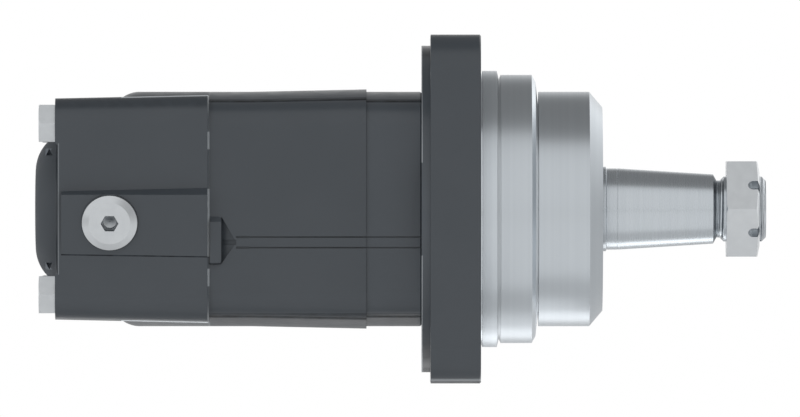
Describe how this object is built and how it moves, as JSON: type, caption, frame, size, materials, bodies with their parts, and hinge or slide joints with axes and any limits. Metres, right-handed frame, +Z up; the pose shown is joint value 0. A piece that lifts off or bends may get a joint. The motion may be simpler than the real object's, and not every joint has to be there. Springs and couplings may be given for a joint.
{
  "type": "orbital hydraulic motor",
  "caption": "Orbital hydraulic motor with a square mounting flange, round pilot and nose, tapered output shaft with a slotted nut, and stacked housings with side ports.",
  "frame": {"origin": "centre of the square flange's front face, on the shaft axis", "axes": "+X along the shaft towards its nut, +Z up, drain plug on the -Y side, work ports on the +Y side"},
  "size_m": [0.2852, 0.1354, 0.1354],
  "materials": {
    "dark_paint": "satin dark grey paint, bare machined pilots",
    "zinc_steel": "plated, satin",
    "shaft_steel": "ground",
    "hardened_steel": "ground, oiled",
    "cage_steel": "pressed sheet",
    "bronze": "machined",
    "copper_washer": "soft copper",
    "seal_rubber": "matt"
  },
  "bodies": {
    "housing": {"flange_housing": "dark_paint", "gear_ring": "dark_paint", "valve_housing": "dark_paint", "rear_housing": "dark_paint", "housing_bolts": "zinc_steel", "drain_plug": "zinc_steel", "drain_plug_seal": "copper_washer", "front_joint_seal": "seal_rubber", "middle_joint_seal": "seal_rubber", "rear_joint_seal": "seal_rubber", "balance_outer_seal": "seal_rubber", "balance_inner_seal": "seal_rubber", "shaft_seal": "seal_rubber", "dust_seal": "seal_rubber", "wear_plate": "bronze", "manifold_plate": "hardened_steel", "manifold_dowels": "hardened_steel", "valve_bush": "bronze", "balance_ring": "hardened_steel", "balance_spring": "hardened_steel", "front_bearing_cup": "hardened_steel", "rear_bearing_cup": "hardened_steel", "seal_carrier": "hardened_steel", "seal_retaining_ring": "hardened_steel"},
    "shaft": {"output_shaft": "shaft_steel", "shaft_key": "hardened_steel", "shaft_nut": "zinc_steel", "bearing_lock_nut": "hardened_steel", "front_bearing_cone": "hardened_steel", "rear_bearing_cone": "hardened_steel"},
    "front_cage": {"front_bearing_cage": "cage_steel", "front_bearing_rollers": "hardened_steel"},
    "rear_cage": {"rear_bearing_cage": "cage_steel", "rear_bearing_rollers": "hardened_steel"},
    "valve": {"rotary_valve": "hardened_steel"},
    "rotor": {"rotor": "hardened_steel", "rotor_bush": "bronze"},
    "link": {"drive_link": "hardened_steel"},
    "roller_1": {"roller_1": "hardened_steel"},
    "roller_2": {"roller_2": "hardened_steel"},
    "roller_3": {"roller_3": "hardened_steel"},
    "roller_4": {"roller_4": "hardened_steel"},
    "roller_5": {"roller_5": "hardened_steel"},
    "roller_6": {"roller_6": "hardened_steel"},
    "roller_7": {"roller_7": "hardened_steel"}
  },
  "joints": [
    {"name": "shaft_spin", "type": "hinge", "parent": "housing", "child": "shaft", "pos_m": [0.07, 0, 0], "axis": [1, 0, 0], "continuous": true},
    {"name": "front_cage_spin", "type": "hinge", "parent": "housing", "child": "front_cage", "pos_m": [0.0195, 0, 0], "axis": [1, 0, 0], "continuous": true},
    {"name": "rear_cage_spin", "type": "hinge", "parent": "housing", "child": "rear_cage", "pos_m": [-0.005, 0, 0], "axis": [1, 0, 0], "continuous": true},
    {"name": "valve_spin", "type": "hinge", "parent": "housing", "child": "valve", "pos_m": [-0.063, 0, 0], "axis": [1, 0, 0], "continuous": true},
    {"name": "rotor_spin", "type": "hinge", "parent": "valve", "child": "rotor", "pos_m": [-0.03375, 0.0028, 0], "axis": [1, 0, 0], "continuous": true},
    {"name": "link_spin", "type": "hinge", "parent": "valve", "child": "link", "pos_m": [0.012, 0, 0], "axis": [0.9979, -0.065, 0], "continuous": true},
    {"name": "roller_1_spin", "type": "hinge", "parent": "housing", "child": "roller_1", "pos_m": [-0.03375, 0.031, 0], "axis": [1, 0, 0], "continuous": true},
    {"name": "roller_2_spin", "type": "hinge", "parent": "housing", "child": "roller_2", "pos_m": [-0.03375, 0.01933, 0.02424], "axis": [1, 0, 0], "continuous": true},
    {"name": "roller_3_spin", "type": "hinge", "parent": "housing", "child": "roller_3", "pos_m": [-0.03375, -0.0069, 0.03022], "axis": [1, 0, 0], "continuous": true},
    {"name": "roller_4_spin", "type": "hinge", "parent": "housing", "child": "roller_4", "pos_m": [-0.03375, -0.02793, 0.01345], "axis": [1, 0, 0], "continuous": true},
    {"name": "roller_5_spin", "type": "hinge", "parent": "housing", "child": "roller_5", "pos_m": [-0.03375, -0.02793, -0.01345], "axis": [1, 0, 0], "continuous": true},
    {"name": "roller_6_spin", "type": "hinge", "parent": "housing", "child": "roller_6", "pos_m": [-0.03375, -0.0069, -0.03022], "axis": [1, 0, 0], "continuous": true},
    {"name": "roller_7_spin", "type": "hinge", "parent": "housing", "child": "roller_7", "pos_m": [-0.03375, 0.01933, -0.02424], "axis": [1, 0, 0], "continuous": true}
  ],
  "couplings": [
    {"joint": "front_cage_spin", "follows": "shaft_spin", "ratio": 0.42196},
    {"joint": "rear_cage_spin", "follows": "shaft_spin", "ratio": 0.42455},
    {"joint": "valve_spin", "follows": "shaft_spin", "ratio": -6},
    {"joint": "rotor_spin", "follows": "shaft_spin", "ratio": 7},
    {"joint": "link_spin", "follows": "shaft_spin", "ratio": 7}
  ]
}
